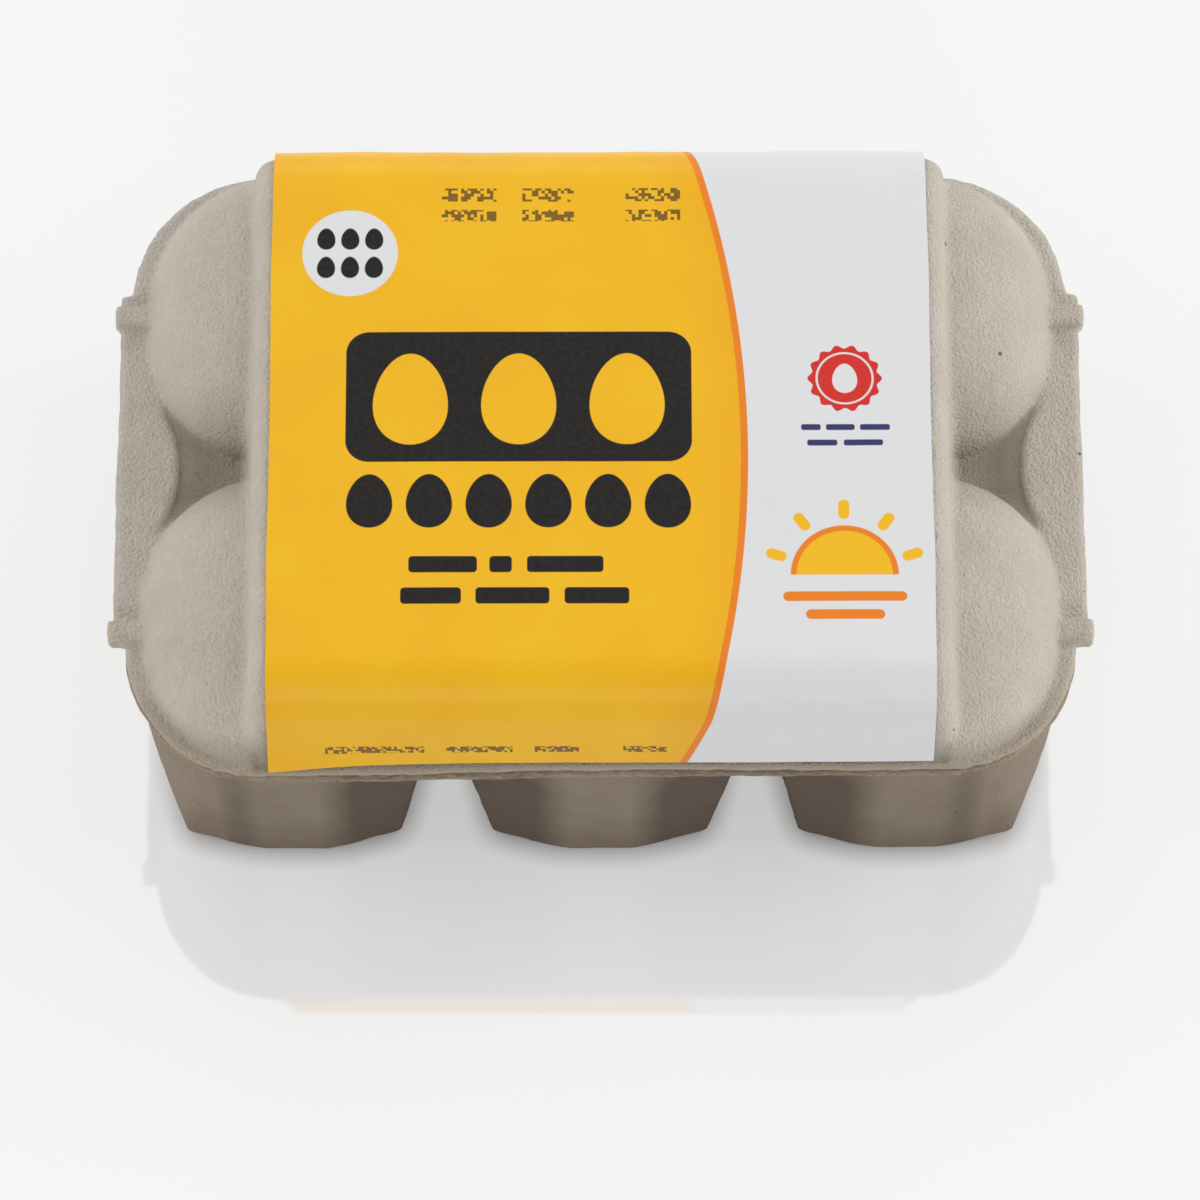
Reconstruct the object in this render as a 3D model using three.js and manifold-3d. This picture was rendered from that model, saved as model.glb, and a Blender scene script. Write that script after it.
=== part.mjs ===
// A shut egg carton for six eggs with a paper label round its lid.
// The tray and the lid are moulded paper pulp. The tray has three by two cups that
// stand on faceted feet. The lid has a raised panel, four half domes over the end
// eggs, a ledge and a small pit between the domes at each end, and four lugs.
// The carton is shut, so tray and lid are solid and the eggs inside aren't modelled.
// Millimetres, +Z up. The front faces -Y, and the feet stand on z = 0.

import * as THREE from "three";
import { mergeVertices } from "three/addons/utils/BufferGeometryUtils.js";
import Module from "manifold-3d";

// Driving dimensions of the whole carton
const PITCH_X = 48.6;
const PITCH_Y = 49;
const SEAM_Z = 48;
const SEAM_GAP = 0.3;
const LID_TOP_Z = 68;
const RIM_HALF_LENGTH = 73.4;
const RIM_HALF_DEPTH = 50.8;
const RIM_CORNER_RADIUS = 21;

// Tray: flange, cups and the web that joins the cups
const TRAY_FLANGE_THICKNESS = 2.2;
const TRAY_FLANGE_OVERHANG = 1.7;
const TRAY_BACK_EDGE_Y = 48.9;
const CUP_DRAFT_SCALE = 1.303;
const FOOT_FACET_HALF_WIDTH = 6.1;
const FOOT_HALF_WIDTH = 19.3;
const FOOT_CORNER = 16.8;
const FOOT_CORNER_LIFT = 1.5;
const FOOT_FLAT_SCALE = 0.74;
const WEB_BOTTOM_Z = 19;
const WEB_REACH_BOTTOM = 13.5;
const WEB_REACH_TOP = 17.5;
const WEB_CORNER_RADIUS = 2;
const BODY_RADIUS_AT_FLOOR = 17.8;
const BODY_LOW_Z = -1;

// Lid: flange, raised panel, half domes, ledges, pits and lugs
const LID_FLANGE_THICKNESS = 1.6;
const PANEL_HALF_LENGTH_FOOT = 55;
const PANEL_HALF_LENGTH_TOP = 53.4;
const PANEL_HALF_DEPTH_FOOT = 49.3;
const PANEL_HALF_DEPTH_TOP = 47.8;
const PANEL_END_ROUNDING = 3;
const PANEL_FOLD_RADIUS = 8;
const PANEL_CORNER_RADIUS = 3.4;
const DOME_CENTRE_X = 48.8;
const DOME_CENTRE_Y = 24.8;
const DOME_HALF_X = 22;
const DOME_HALF_Y_OUTER = 25.6;
const DOME_HALF_Y_INNER = 23.4;
const DOME_HEIGHT = 14;
const DOME_PLAN_FULLNESS = 2.2;
const DOME_INNER_X = 53;
const LEDGE_HALF_LENGTH = 75.3;
const LEDGE_FRONT_Y = -28.4;
const LEDGE_BACK_Y = 30.1;
const PIT_EDGE_X = 65.4;
const PIT_ARC_RADIUS = 20;
const PIT_HALF_WIDTH = 12;
const PIT_FLOOR_Z = 47.2;
const PIT_WALL = 0.9;
const LUG_OUTER_X = 76;
const LUG_INNER_X = 67;
const LUG_FRONT_Y = -28.2;
const LUG_BACK_Y = 25.7;
const LUG_WIDTH = 3.6;
const LUG_HEIGHT = 3.4;
const HINGE_HALF_LENGTH = 50;
const HINGE_THICKNESS = 1.6;
const HINGE_DROP = 2.6;

// Label: a paper sleeve over the panel, open underneath
const LABEL_HALF_LENGTH = 50.7;
const LABEL_THICKNESS = 0.4;
const LABEL_CLEARANCE = 0.3;
const LABEL_LOWER_Z = 50.3;

// Roundness of the curved surfaces
const DOME_SEGMENTS = 44;
const DOME_RINGS = 9;
const DOME_TOP_DEGREES = 85;
const PIT_SEGMENTS = 12;
const CORNER_SEGMENTS = 6;
const FOLD_STEPS = 7;

// How far solids run into each other, or cuts run past a face
const OVERLAP = 1;

const PULP_COLOR = 0xb8b0a5;
const PAPER_COLOR = 0xe9b02a;

const wasm = await Module();
wasm.setup();

// A closed mesh becomes a solid once only its shared corner points are left.
function toSolid(geometry) {
  const bare = geometry.clone();
  bare.deleteAttribute("normal");
  bare.deleteAttribute("uv");
  const merged = mergeVertices(bare, 1e-4);
  const mesh = new wasm.Mesh({
    numProp: 3,
    vertProperties: new Float32Array(merged.attributes.position.array),
    triVerts: new Uint32Array(merged.index.array),
  });
  return new wasm.Manifold(mesh);
}

function toGeometry(solid) {
  const mesh = solid.getMesh();
  const geometry = new THREE.BufferGeometry();
  geometry.setAttribute("position", new THREE.BufferAttribute(mesh.vertProperties, 3));
  geometry.setIndex(new THREE.BufferAttribute(mesh.triVerts, 1));
  geometry.computeVertexNormals();
  return geometry;
}

function join(solids) {
  return solids.reduce((sum, solid) => sum.add(solid));
}

// A loft through rings of equally many points, listed anticlockwise from above and
// from the lowest ring up, closed by a fan at each end.
function loft(rings) {
  const count = rings[0].length;
  const positions = [];
  const index = [];
  for (const ring of rings) {
    for (const point of ring) positions.push(point.x, point.y, point.z);
  }
  for (let level = 0; level + 1 < rings.length; level += 1) {
    for (let i = 0; i < count; i += 1) {
      const next = (i + 1) % count;
      const a = level * count + i;
      const b = level * count + next;
      index.push(a, b, b + count, a, b + count, a + count);
    }
  }
  const ends = [rings[0], rings[rings.length - 1]];
  ends.forEach((ring, end) => {
    const centre = new THREE.Vector3();
    for (const point of ring) centre.addScaledVector(point, 1 / count);
    const first = end === 0 ? 0 : (rings.length - 1) * count;
    const middle = positions.length / 3;
    positions.push(centre.x, centre.y, centre.z);
    for (let i = 0; i < count; i += 1) {
      const next = (i + 1) % count;
      if (end === 0) index.push(middle, first + next, first + i);
      else index.push(middle, first + i, first + next);
    }
  });
  const geometry = new THREE.BufferGeometry();
  geometry.setAttribute("position", new THREE.Float32BufferAttribute(positions, 3));
  geometry.setIndex(index);
  return geometry;
}

// Points of a rectangle with round corners, anticlockwise from above.
function roundedRing(halfX, halfY, radius, z) {
  const ring = [];
  for (let corner = 0; corner < 4; corner += 1) {
    const signX = corner === 0 || corner === 3 ? 1 : -1;
    const signY = corner < 2 ? 1 : -1;
    for (let i = 0; i <= CORNER_SEGMENTS; i += 1) {
      const angle = (Math.PI / 2) * (corner + i / CORNER_SEGMENTS);
      const x = signX * (halfX - radius) + radius * Math.cos(angle);
      const y = signY * (halfY - radius) + radius * Math.sin(angle);
      ring.push(new THREE.Vector3(x, y, z));
    }
  }
  return ring;
}

function box(lowX, highX, lowY, highY, lowZ, highZ) {
  const geometry = new THREE.BoxGeometry(highX - lowX, highY - lowY, highZ - lowZ);
  geometry.translate((lowX + highX) / 2, (lowY + highY) / 2, (lowZ + highZ) / 2);
  return geometry;
}

// One cup: the foot has a proud middle facet on each side and lifted corners, and
// the walls widen towards the rim.
function footQuarter() {
  return [
    [FOOT_HALF_WIDTH, FOOT_FACET_HALF_WIDTH, 0],
    [FOOT_CORNER, FOOT_CORNER, FOOT_CORNER_LIFT],
    [FOOT_FACET_HALF_WIDTH, FOOT_HALF_WIDTH, 0],
  ];
}

function cupRing(centreX, centreY, scale, heightOf) {
  const ring = [];
  for (let quarter = 0; quarter < 4; quarter += 1) {
    const turn = (quarter * Math.PI) / 2;
    for (const [x, y, lift] of footQuarter()) {
      const turnedX = x * Math.cos(turn) - y * Math.sin(turn);
      const turnedY = x * Math.sin(turn) + y * Math.cos(turn);
      ring.push(new THREE.Vector3(centreX + scale * turnedX, centreY + scale * turnedY, heightOf(lift)));
    }
  }
  return ring;
}

function cup(centreX, centreY, topZ) {
  return loft([
    cupRing(centreX, centreY, FOOT_FLAT_SCALE, () => 0),
    cupRing(centreX, centreY, 1, (lift) => lift),
    cupRing(centreX, centreY, CUP_DRAFT_SCALE, () => topZ),
  ]);
}

// Flange outline with the wider ledge at each end, as one flat plate.
function flangePlate(lowZ, highZ) {
  const ringAt = (z) => roundedRing(RIM_HALF_LENGTH, RIM_HALF_DEPTH, RIM_CORNER_RADIUS, z);
  const rim = loft([ringAt(lowZ), ringAt(highZ)]);
  const reach = LEDGE_HALF_LENGTH;
  const ledges = box(-reach, reach, LEDGE_FRONT_Y, LEDGE_BACK_Y, lowZ, highZ);
  return join([toSolid(rim), toSolid(ledges)]);
}

// The small pit between two domes, bounded by an arc towards the ledge and by the
// panel. Growing its outline gives the pulp round it, and the tray's pocket for that.
function pitColumn(side, grow, lowZ, highZ) {
  const innerX = PANEL_HALF_LENGTH_FOOT - grow;
  const halfWidth = PIT_HALF_WIDTH + grow;
  const radius = PIT_ARC_RADIUS - grow;
  const centreX = PIT_EDGE_X + PIT_ARC_RADIUS;
  const outline = [new THREE.Vector2(innerX, -halfWidth)];
  for (let i = 0; i <= PIT_SEGMENTS; i += 1) {
    const y = THREE.MathUtils.lerp(-halfWidth, halfWidth, i / PIT_SEGMENTS);
    outline.push(new THREE.Vector2(centreX - Math.sqrt(radius * radius - y * y), y));
  }
  outline.push(new THREE.Vector2(innerX, halfWidth));
  const ringAt = (z) => outline.map((point) => new THREE.Vector3(side * point.x, side * point.y, z));
  return loft([ringAt(lowZ), ringAt(highZ)]);
}

function makeTray() {
  const topZ = SEAM_Z - SEAM_GAP;
  const flangeZ = topZ - TRAY_FLANGE_THICKNESS;
  const wallTopZ = flangeZ + OVERLAP;
  const cups = [];
  for (const column of [-1, 0, 1]) {
    for (const row of [-0.5, 0.5]) {
      cups.push(toSolid(cup(column * PITCH_X, row * PITCH_Y, wallTopZ)));
    }
  }
  const webRing = (reach, z) => (
    roundedRing(PITCH_X + reach, PITCH_Y / 2 + reach, WEB_CORNER_RADIUS, z)
  );
  const web = loft([webRing(WEB_REACH_BOTTOM, WEB_BOTTOM_Z), webRing(WEB_REACH_TOP, wallTopZ)]);
  const rimInset = TRAY_FLANGE_OVERHANG;
  const rimRadius = RIM_CORNER_RADIUS - rimInset;
  const floorInset = rimInset + rimRadius - BODY_RADIUS_AT_FLOOR;
  const body = loft([
    roundedRing(
      RIM_HALF_LENGTH - floorInset,
      RIM_HALF_DEPTH - floorInset,
      BODY_RADIUS_AT_FLOOR,
      BODY_LOW_Z,
    ),
    roundedRing(RIM_HALF_LENGTH - rimInset, RIM_HALF_DEPTH - rimInset, rimRadius, topZ),
  ]);
  const walls = join([...cups, toSolid(web)]).intersect(toSolid(body));
  const hingeRoom = box(
    -HINGE_HALF_LENGTH - SEAM_GAP,
    HINGE_HALF_LENGTH + SEAM_GAP,
    TRAY_BACK_EDGE_Y,
    RIM_HALF_DEPTH + OVERLAP,
    flangeZ - OVERLAP,
    SEAM_Z,
  );
  const pocketZ = PIT_FLOOR_Z - PIT_WALL - SEAM_GAP;
  const cuts = [hingeRoom];
  for (const side of [-1, 1]) cuts.push(pitColumn(side, PIT_WALL + SEAM_GAP, pocketZ, SEAM_Z));
  const whole = walls.add(flangePlate(flangeZ, topZ));
  return toGeometry(whole.subtract(join(cuts.map(toSolid))));
}

// The panel's half length and half depth at a height, with a small rounding at the
// two ends and a wide fold at the front and the back.
function roundedInset(z, radius) {
  const depth = LID_TOP_Z - z;
  if (depth >= radius) return 0;
  return radius - Math.sqrt(radius * radius - (radius - depth) * (radius - depth));
}

function panelHalfDepth(z) {
  const foldZ = LID_TOP_Z - PANEL_FOLD_RADIUS;
  const rise = THREE.MathUtils.clamp((z - SEAM_Z) / (foldZ - SEAM_Z), 0, 1);
  const wall = THREE.MathUtils.lerp(PANEL_HALF_DEPTH_FOOT, PANEL_HALF_DEPTH_TOP, rise);
  return wall - roundedInset(z, PANEL_FOLD_RADIUS);
}

function panelHalfLength(z) {
  const rise = THREE.MathUtils.clamp((z - SEAM_Z) / (LID_TOP_Z - PANEL_END_ROUNDING - SEAM_Z), 0, 1);
  const wall = THREE.MathUtils.lerp(PANEL_HALF_LENGTH_FOOT, PANEL_HALF_LENGTH_TOP, rise);
  return wall - roundedInset(z, PANEL_END_ROUNDING);
}

function foldHeights() {
  const heights = [];
  for (let i = 0; i <= FOLD_STEPS; i += 1) {
    const angle = (Math.PI / 2) * (i / FOLD_STEPS);
    heights.push(LID_TOP_Z - PANEL_FOLD_RADIUS * (1 - Math.sin(angle)));
  }
  return heights;
}

function panel() {
  const heights = [SEAM_Z, ...foldHeights()];
  return loft(heights.map((z) => (
    roundedRing(panelHalfLength(z), panelHalfDepth(z), PANEL_CORNER_RADIUS, z)
  )));
}

// A dome's plan at a height: fuller than an ellipse, and reaching further towards the
// carton's front or back edge than towards the other dome.
function domeRing(sideX, sideY, scale, z) {
  const ring = [];
  for (let i = 0; i < DOME_SEGMENTS; i += 1) {
    const angle = (2 * Math.PI * i) / DOME_SEGMENTS;
    const across = Math.abs(Math.cos(angle)) ** (2 / DOME_PLAN_FULLNESS) * Math.sign(Math.cos(angle));
    const along = Math.abs(Math.sin(angle)) ** (2 / DOME_PLAN_FULLNESS) * Math.sign(Math.sin(angle));
    const halfY = along * sideY > 0 ? DOME_HALF_Y_OUTER : DOME_HALF_Y_INNER;
    const x = sideX * DOME_CENTRE_X + scale * DOME_HALF_X * across;
    const y = sideY * DOME_CENTRE_Y + scale * halfY * along;
    ring.push(new THREE.Vector3(x, y, z));
  }
  return ring;
}

// A half dome: the part of the whole dome that lies outside the panel. The last ring
// stops just short of the crown.
function halfDome(sideX, sideY) {
  const rings = [];
  for (let i = 0; i <= DOME_RINGS; i += 1) {
    const angle = THREE.MathUtils.degToRad(DOME_TOP_DEGREES) * (i / DOME_RINGS);
    rings.push(domeRing(sideX, sideY, Math.cos(angle), SEAM_Z + DOME_HEIGHT * Math.sin(angle)));
  }
  const farX = DOME_HALF_X + DOME_CENTRE_X + OVERLAP;
  const lowX = sideX > 0 ? DOME_INNER_X : -farX;
  const highX = sideX > 0 ? farX : -DOME_INNER_X;
  const outside = box(
    lowX, highX, -RIM_HALF_DEPTH, RIM_HALF_DEPTH, SEAM_Z - OVERLAP, SEAM_Z + DOME_HEIGHT + OVERLAP,
  );
  return toSolid(loft(rings)).intersect(toSolid(outside));
}

// The pit's empty space stops at the two domes, which go down to its floor.
function pitSpace(side) {
  const highZ = SEAM_Z + LID_FLANGE_THICKNESS + OVERLAP;
  const domes = [-1, 1].map((sideY) => toSolid(loft([
    domeRing(side, sideY, 1, PIT_FLOOR_Z - OVERLAP),
    domeRing(side, sideY, 1, highZ + OVERLAP),
  ])));
  return toSolid(pitColumn(side, 0, PIT_FLOOR_Z, highZ)).subtract(join(domes));
}

function lug(sideX, sideY) {
  const lowX = Math.min(sideX * LUG_INNER_X, sideX * LUG_OUTER_X);
  const highX = Math.max(sideX * LUG_INNER_X, sideX * LUG_OUTER_X);
  const y = sideY > 0 ? LUG_BACK_Y : LUG_FRONT_Y;
  return box(lowX, highX, y - LUG_WIDTH / 2, y + LUG_WIDTH / 2, SEAM_Z, SEAM_Z + LUG_HEIGHT);
}

// The folded pulp strip along the back that hinges the lid to the tray.
function hinge() {
  const thickness = HINGE_THICKNESS;
  const topZ = SEAM_Z + LID_FLANGE_THICKNESS;
  const backY = RIM_HALF_DEPTH;
  return box(-HINGE_HALF_LENGTH, HINGE_HALF_LENGTH, backY - thickness, backY, SEAM_Z - HINGE_DROP, topZ);
}

function makeLid() {
  let flange = flangePlate(SEAM_Z, SEAM_Z + LID_FLANGE_THICKNESS);
  for (const side of [-1, 1]) {
    const pulpRound = pitColumn(side, PIT_WALL, PIT_FLOOR_Z - PIT_WALL, SEAM_Z + OVERLAP);
    flange = flange.add(toSolid(pulpRound)).subtract(pitSpace(side));
  }
  const solids = [flange, toSolid(panel()), toSolid(hinge())];
  for (const sideX of [-1, 1]) {
    for (const sideY of [-1, 1]) {
      solids.push(halfDome(sideX, sideY));
      solids.push(toSolid(lug(sideX, sideY)));
    }
  }
  return toGeometry(join(solids));
}

// The label follows the panel's outline over the top, down the front and the back.
function labelOutline(offset) {
  const points = [];
  const foldZ = LID_TOP_Z - PANEL_FOLD_RADIUS;
  points.push(new THREE.Vector2(panelHalfDepth(LABEL_LOWER_Z) + offset, LABEL_LOWER_Z));
  for (let i = 0; i <= FOLD_STEPS; i += 1) {
    const angle = (Math.PI / 2) * (i / FOLD_STEPS);
    const y = PANEL_HALF_DEPTH_TOP - PANEL_FOLD_RADIUS + (PANEL_FOLD_RADIUS + offset) * Math.cos(angle);
    const z = foldZ + (PANEL_FOLD_RADIUS + offset) * Math.sin(angle);
    points.push(new THREE.Vector2(y, z));
  }
  const mirrored = points.map((point) => new THREE.Vector2(-point.x, point.y)).reverse();
  return [...points, ...mirrored];
}

function makeLabel() {
  const outer = labelOutline(LABEL_CLEARANCE + LABEL_THICKNESS);
  const inner = labelOutline(LABEL_CLEARANCE).reverse();
  const geometry = new THREE.ExtrudeGeometry(new THREE.Shape([...outer, ...inner]), {
    depth: 2 * LABEL_HALF_LENGTH,
    bevelEnabled: false,
    steps: 1,
  });
  geometry.rotateX(Math.PI / 2);
  geometry.rotateZ(Math.PI / 2);
  geometry.translate(-LABEL_HALF_LENGTH, 0, 0);
  return geometry;
}

function namedMesh(name, geometry, color, roughness) {
  const material = new THREE.MeshStandardMaterial({ color, roughness, metalness: 0 });
  const mesh = new THREE.Mesh(geometry, material);
  mesh.name = name;
  return mesh;
}

const carton = new THREE.Group();
carton.add(namedMesh("tray", makeTray(), PULP_COLOR, 0.95));
carton.add(namedMesh("lid", makeLid(), PULP_COLOR, 0.95));
carton.add(namedMesh("label", makeLabel(), PAPER_COLOR, 0.45));

export default carton;
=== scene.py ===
# A shut egg carton of moulded paper pulp with a paper label round its lid.
# Shapes are worked out in millimetres from distance functions: a point's distance to
# the surface, below zero inside. A net of quads is laid round that surface, pulled
# onto it, and given the small unevenness of pulp. The objects are in metres.
import math

import bpy
import numpy as np
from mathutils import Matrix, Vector


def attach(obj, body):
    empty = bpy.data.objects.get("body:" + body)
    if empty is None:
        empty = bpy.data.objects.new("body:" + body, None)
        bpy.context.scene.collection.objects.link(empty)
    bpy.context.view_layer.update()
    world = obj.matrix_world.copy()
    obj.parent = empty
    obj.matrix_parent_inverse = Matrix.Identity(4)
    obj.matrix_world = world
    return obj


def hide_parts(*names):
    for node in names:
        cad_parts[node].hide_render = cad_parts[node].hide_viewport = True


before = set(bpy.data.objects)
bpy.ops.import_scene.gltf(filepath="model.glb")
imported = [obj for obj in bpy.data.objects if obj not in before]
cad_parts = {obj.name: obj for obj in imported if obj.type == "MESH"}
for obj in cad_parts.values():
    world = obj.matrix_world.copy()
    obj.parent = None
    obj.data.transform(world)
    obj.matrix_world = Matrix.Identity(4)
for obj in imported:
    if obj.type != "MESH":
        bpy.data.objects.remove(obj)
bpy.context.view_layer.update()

MM = 0.001

# Sizes of the carton in millimetres, close to those of the CAD solids
PITCH_X = 48.6
PITCH_Y = 49.0
SEAM_Z = 48.0
TRAY_TOP_Z = 47.7
LID_TOP_Z = 68.0
RIM_HALF_LENGTH = 73.4
RIM_HALF_DEPTH = 50.8
RIM_CORNER_RADIUS = 21.0
LEDGE_HALF_LENGTH = 75.3
LEDGE_MIDDLE_Y = 0.85
LEDGE_HALF_DEPTH = 29.25

TRAY_FLANGE_THICKNESS = 2.2
TRAY_WALL_INSET = 1.7
CUP_GROWTH = 0.303 / 46.5
FOOT_HALF_WIDTH = 19.3
FOOT_FACET_HALF_WIDTH = 6.1
FOOT_CORNER = 16.8
FOOT_CORNER_LIFT = 1.5
WEB_BOTTOM_Z = 19.0
WEB_REACH = 13.5
WEB_DRAFT = 0.16
BODY_RADIUS_AT_FLOOR = 17.8

LID_FLANGE_THICKNESS = 1.6
PANEL_HALF_LENGTH = 55.0
PANEL_END_DRAFT = 0.094
PANEL_HALF_DEPTH = 49.3
PANEL_DRAFT = 0.125
PANEL_FOLD_RADIUS = 8.0
PANEL_END_ROUNDING = 3.2
DOME_CENTRE_X = 48.8
DOME_CENTRE_Y = 24.8
DOME_HALF_X = 22.0
DOME_HALF_Y_OUTER = 25.6
DOME_HALF_Y_INNER = 23.4
DOME_HEIGHT = 14.0
DOME_PLAN_FULLNESS = 2.2
DOME_INNER_X = 53.0
PIT_EDGE_X = 65.4
PIT_ARC_RADIUS = 20.0
PIT_HALF_WIDTH = 12.0
PIT_FLOOR_Z = 47.2
PIT_WALL = 0.9
PIT_ROOM = 1.2
LUG_X = 71.5
LUG_MIDDLE_Y = -1.25
LUG_REACH_Y = 26.95
LUG_HALF_LENGTH = 4.4
LUG_HALF_WIDTH = 1.8
LUG_TOP_Z = 51.4
HINGE_HALF_LENGTH = 50.0
HINGE_THICKNESS = 1.6
HINGE_BOTTOM_Z = 45.4
HINGE_ROOM_Y = 48.9

LABEL_HALF_LENGTH = 50.7
LABEL_LOWER_Z = 50.3
LABEL_INNER = 0.25
LABEL_OUTER = 0.6

# Sizes of the finer forms, which the solids leave out
DOME_FULLNESS_OUTER = 2.05
DOME_FULLNESS_INNER = 1.85
PIT_LEVEL_Y = 5.0
PIT_BOSS_Z = 44.9
RIM_OUTWARD = 0.5
RIM_DROP = 0.9
LABEL_FLARE = 1.3
LABEL_DROP = 0.9

# Mesh sizes in millimetres, and the label's columns and rows
LID_STEP = 0.72
TRAY_STEP = 0.95
LABEL_COLUMNS = 150
LABEL_ROWS = 130


# Distance functions


def ramp(value, start, end):
    """0 before start, 1 past end and even steps between."""
    return np.clip((value - start) / (end - start), 0, 1)


def soft_min(a, b, width):
    """Union of two distances with a fillet."""
    h = np.clip(0.5 + 0.5 * (b - a) / width, 0, 1)
    return b * (1 - h) + a * h - width * h * (1 - h)


def soft_max(a, b, width):
    """Intersection of two distances with a soft edge."""
    return -soft_min(-a, -b, width)


def round_edge(a, b, radius):
    """Intersection of two distances with a round edge."""
    outside = np.hypot(np.maximum(a + radius, 0), np.maximum(b + radius, 0))
    return outside + np.minimum(np.maximum(a, b) + radius, 0) - radius


def round_rectangle(x, y, half_x, half_y, radius):
    """Distance in plan to a rectangle with round corners."""
    a = np.abs(x) - half_x + radius
    b = np.abs(y) - half_y + radius
    return np.hypot(np.maximum(a, 0), np.maximum(b, 0)) + np.minimum(np.maximum(a, b), 0) - radius


def lattice_value(ix, iy, iz, seed):
    """A repeatable number from -1 to 1 for each whole-number point."""
    mask = 0xFFFFFFFF
    value = (ix * 374761393 + iy * 668265263 + iz * 915488749 + seed * 69069) & mask
    value = ((value ^ (value >> 13)) * 1274126177) & mask
    return ((value ^ (value >> 16)) & 0xFFFF) / 32767.5 - 1


def noise(x, y, z, size, seed):
    """Smooth noise from -1 to 1 whose bumps are about size millimetres across."""
    grid = [np.asarray(v) / size for v in (x, y, z)]
    low = [np.floor(v).astype(np.int64) for v in grid]
    part = [v - base for v, base in zip(grid, low)]
    part = [v * v * (3 - 2 * v) for v in part]
    total = 0
    for i in (0, 1):
        for j in (0, 1):
            for k in (0, 1):
                weight = (part[0] if i else 1 - part[0]) * (part[1] if j else 1 - part[1])
                weight = weight * (part[2] if k else 1 - part[2])
                total = total + weight * lattice_value(low[0] + i, low[1] + j, low[2] + k, seed)
    return total


def torn_edge(x, y, seed):
    """How far the rim's fibrous edge stands out or in, in millimetres."""
    flat = np.zeros_like(x)
    broad = noise(x, y, flat, 9.0, seed)
    fine = noise(x, y, flat, 1.8, seed + 1)
    return 0.14 * broad + 0.10 * fine


def rim_outline(x, y, seed):
    rim = round_rectangle(x, y, RIM_HALF_LENGTH, RIM_HALF_DEPTH, RIM_CORNER_RADIUS)
    ledge = round_rectangle(x, y - LEDGE_MIDDLE_Y, LEDGE_HALF_LENGTH, LEDGE_HALF_DEPTH, 0.8)
    return soft_min(rim, ledge, 0.8) + 0.2 + torn_edge(x, y, seed)


def panel_distance(x, y, z):
    rise = z - SEAM_Z
    front_wall = (np.abs(y) - PANEL_HALF_DEPTH + PANEL_DRAFT * rise) / math.hypot(1, PANEL_DRAFT)
    end_wall = (np.abs(x) - PANEL_HALF_LENGTH + PANEL_END_DRAFT * rise) / math.hypot(1, PANEL_END_DRAFT)
    profile = round_edge(front_wall, z - LID_TOP_Z, PANEL_FOLD_RADIUS)
    return round_edge(profile, end_wall, PANEL_END_ROUNDING)


def dome_distance(x, y, z, side):
    """A dome with a plan fuller than an ellipse that reaches further to the outside."""
    u = (np.abs(x) - DOME_CENTRE_X) / DOME_HALF_X
    outward = side * y - DOME_CENTRE_Y
    half_y = np.where(outward > 0, DOME_HALF_Y_OUTER, DOME_HALF_Y_INNER)
    v = outward / half_y
    w = np.maximum(z - SEAM_Z, 0) / DOME_HEIGHT
    p = DOME_PLAN_FULLNESS
    blend = np.clip(0.5 + outward / 16, 0, 1)
    n = DOME_FULLNESS_INNER + (DOME_FULLNESS_OUTER - DOME_FULLNESS_INNER) * blend
    plan = np.maximum((np.abs(u) ** p + np.abs(v) ** p) ** (1 / p), 1e-6)
    size = np.maximum((plan ** n + w ** n) ** (1 / n), 1e-6)
    slope_plan = (plan / size) ** (n - 1)
    slope_x = slope_plan * (np.abs(u) / plan) ** (p - 1) / DOME_HALF_X
    slope_y = slope_plan * (np.abs(v) / plan) ** (p - 1) / half_y
    slope_z = (w / size) ** (n - 1) / DOME_HEIGHT
    slope = np.sqrt(slope_x ** 2 + slope_y ** 2 + slope_z ** 2)
    dome = (size - 1) / np.maximum(slope, 0.02)
    return soft_max(dome, DOME_INNER_X - np.abs(x), 0.4)


def pit_plan(x, y, grow):
    """Distance in plan to the pit between two domes: an arc, two sides and the panel."""
    centre_x = PIT_EDGE_X + PIT_ARC_RADIUS
    arc = PIT_ARC_RADIUS - grow - np.hypot(np.abs(x) - centre_x, y)
    beyond = np.abs(x) - centre_x + 1
    inner = PANEL_HALF_LENGTH - 1 - grow - np.abs(x)
    sides = np.abs(y) - PIT_HALF_WIDTH - grow
    return soft_max(np.maximum(np.maximum(arc, beyond), inner), sides, 0.8)


def lug_distance(x, y, z):
    a = np.abs(np.abs(x) - LUG_X) - LUG_HALF_LENGTH
    b = np.abs(np.abs(y - LUG_MIDDLE_Y) - LUG_REACH_Y) - LUG_HALF_WIDTH
    return round_edge(round_edge(a, b, 0.7), z - LUG_TOP_Z, 0.6)


def hinge_distance(x, y, z):
    across = np.abs(y - (RIM_HALF_DEPTH - HINGE_THICKNESS / 2)) - HINGE_THICKNESS / 2
    middle_z = (HINGE_BOTTOM_Z + SEAM_Z + LID_FLANGE_THICKNESS) / 2
    upright = np.abs(z - middle_z) - (middle_z - HINGE_BOTTOM_Z)
    strip = round_edge(across, upright, 0.75)
    return round_edge(strip, np.abs(x) - HINGE_HALF_LENGTH, 0.6)


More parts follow.
